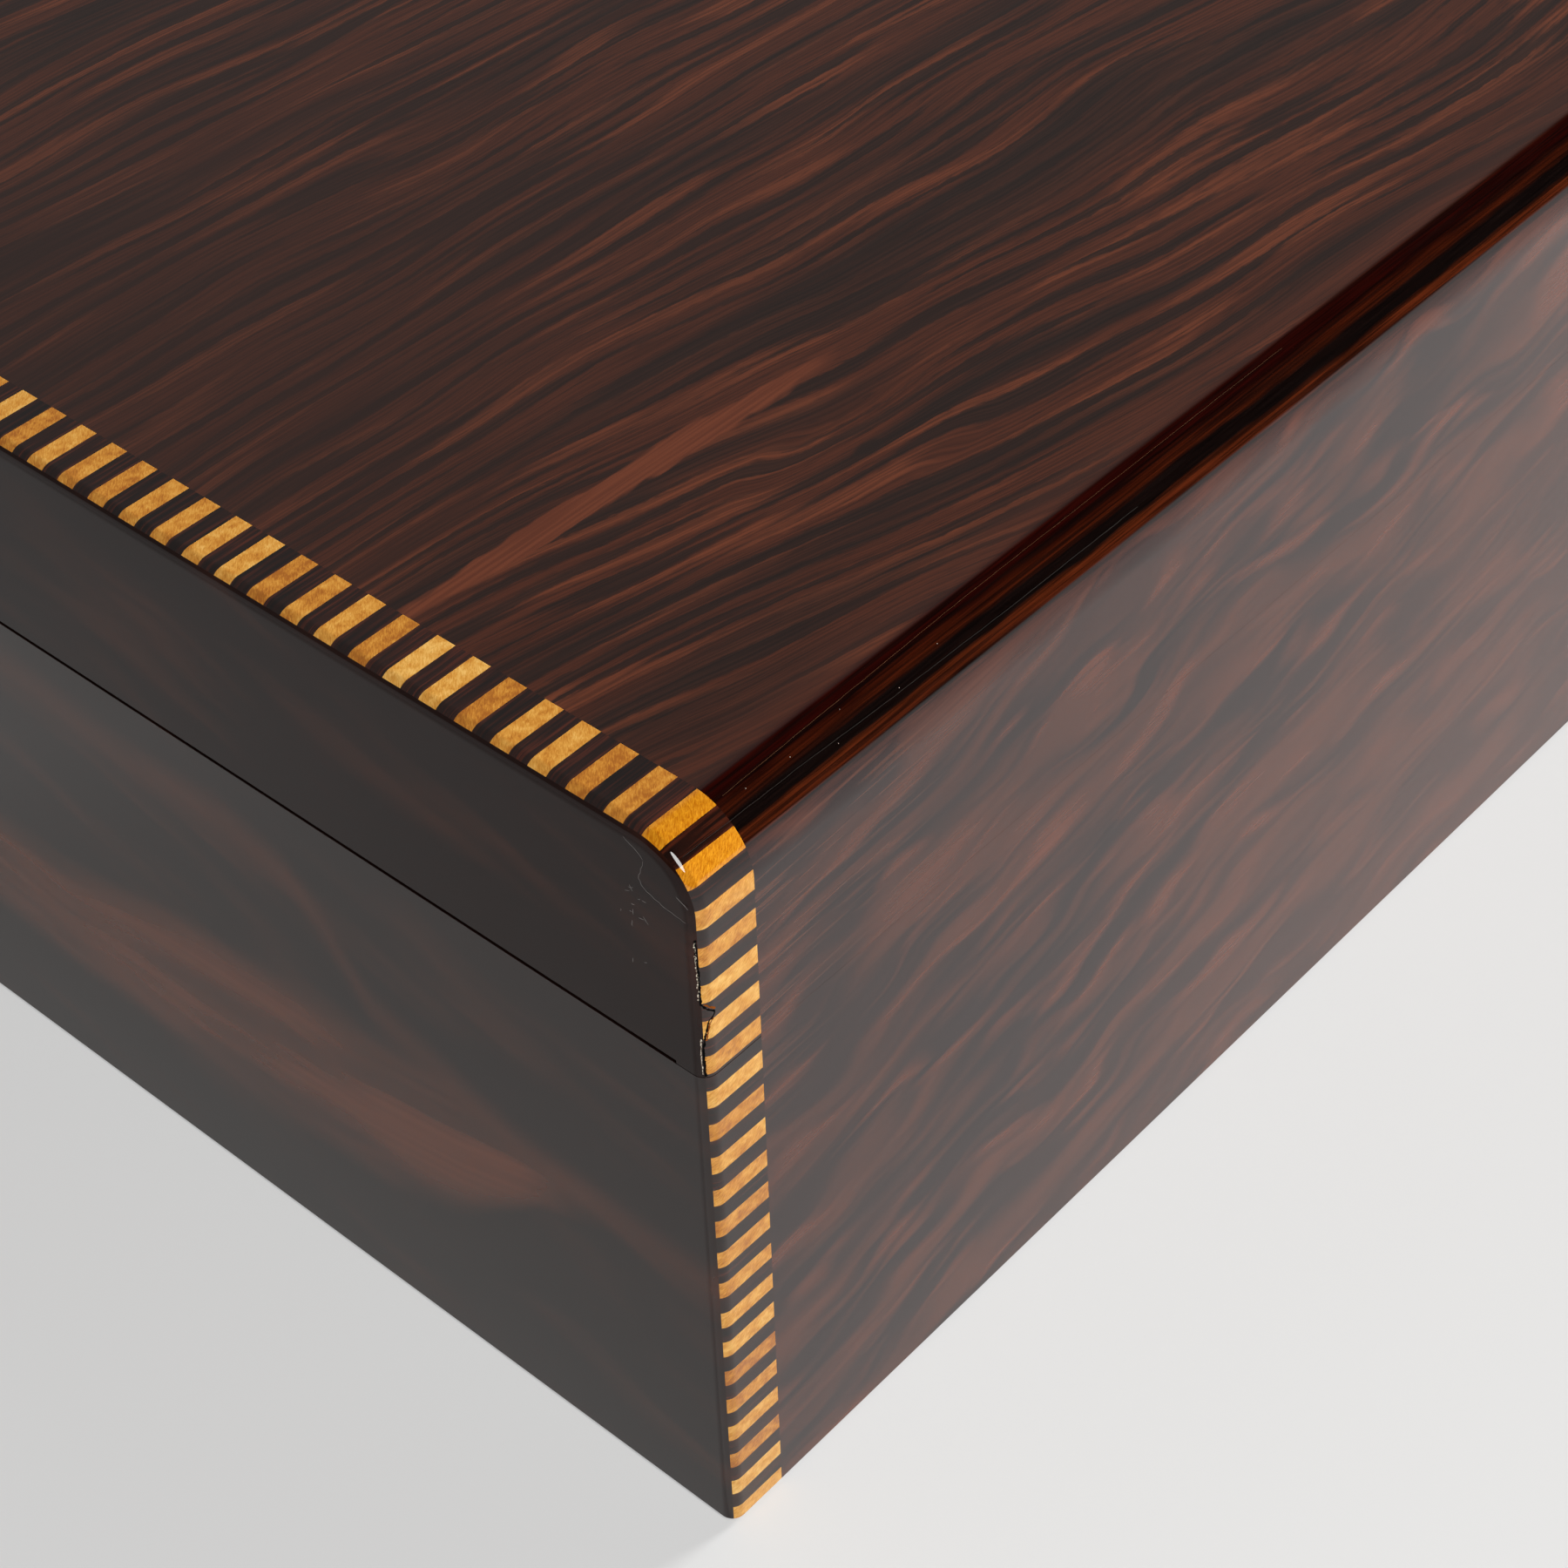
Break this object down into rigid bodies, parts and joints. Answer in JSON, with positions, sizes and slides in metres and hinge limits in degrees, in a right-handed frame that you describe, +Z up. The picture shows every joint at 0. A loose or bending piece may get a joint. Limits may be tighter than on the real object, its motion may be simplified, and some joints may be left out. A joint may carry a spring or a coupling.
{
  "type": "inlaid wooden box",
  "caption": "Lidded rectangular wooden box in striped dark veneer with light and dark ladder inlay along its end edges, rounded lid edges and a hinged lid.",
  "frame": {"origin": "centre of the base's resting face, the underside of the felt", "axes": "+X along the box's length, to the right as seen from the front; +Y from the front to the hinged back; +Z up"},
  "size_m": [0.36, 0.2569, 0.1235],
  "materials": {
    "core_wood": "matte sawn core edge, stained dark",
    "board_wood": "matte plywood board",
    "dowel_wood": "matte beech",
    "striped_veneer": "striped ebony veneer under clear high-gloss lacquer",
    "end_veneer": "dark ebony veneer under clear high-gloss lacquer",
    "ladder_light": "light boxwood inlay under clear high-gloss lacquer",
    "ladder_dark": "ebony inlay under clear high-gloss lacquer",
    "cedar": "bare sanded cedar",
    "suede": "dark red suede pad",
    "felt": "black felt",
    "hinge_brass": "polished brass",
    "screw_brass": "brass"
  },
  "bodies": {
    "base": {"base_front_panel": "core_wood", "base_back_panel": "core_wood", "base_left_end": "core_wood", "base_right_end": "core_wood", "base_bottom_board": "board_wood", "base_dowels": "dowel_wood", "base_front_veneer": "striped_veneer", "base_back_veneer": "striped_veneer", "base_left_end_veneer": "end_veneer", "base_right_end_veneer": "end_veneer", "base_left_ladder_light": "ladder_light", "base_left_ladder_dark": "ladder_dark", "base_right_ladder_light": "ladder_light", "base_right_ladder_dark": "ladder_dark", "base_front_liner": "cedar", "base_back_liner": "cedar", "base_left_liner": "cedar", "base_right_liner": "cedar", "base_suede_pad": "suede", "base_felt": "felt", "left_hinge_base_leaf": "hinge_brass", "right_hinge_base_leaf": "hinge_brass", "left_hinge_pin": "hinge_brass", "right_hinge_pin": "hinge_brass", "base_hinge_screws": "screw_brass"},
    "lid": {"lid_front_rail": "core_wood", "lid_back_rail": "core_wood", "lid_left_end": "core_wood", "lid_right_end": "core_wood", "lid_top_board": "board_wood", "lid_dowels": "dowel_wood", "lid_wrap_veneer": "striped_veneer", "lid_left_end_veneer": "end_veneer", "lid_right_end_veneer": "end_veneer", "lid_left_ladder_light": "ladder_light", "lid_left_ladder_dark": "ladder_dark", "lid_right_ladder_light": "ladder_light", "lid_right_ladder_dark": "ladder_dark", "lid_front_liner": "cedar", "lid_back_liner": "cedar", "lid_left_liner": "cedar", "lid_right_liner": "cedar", "lid_suede_pad": "suede", "left_hinge_lid_leaf": "hinge_brass", "right_hinge_lid_leaf": "hinge_brass", "lid_hinge_screws": "screw_brass"}
  },
  "joints": [
    {"name": "lid_hinge", "type": "hinge", "parent": "base", "child": "lid", "pos_m": [0, 0.1282, 0.0887], "axis": [-1, 0, 0], "range_deg": [0, 95]}
  ]
}
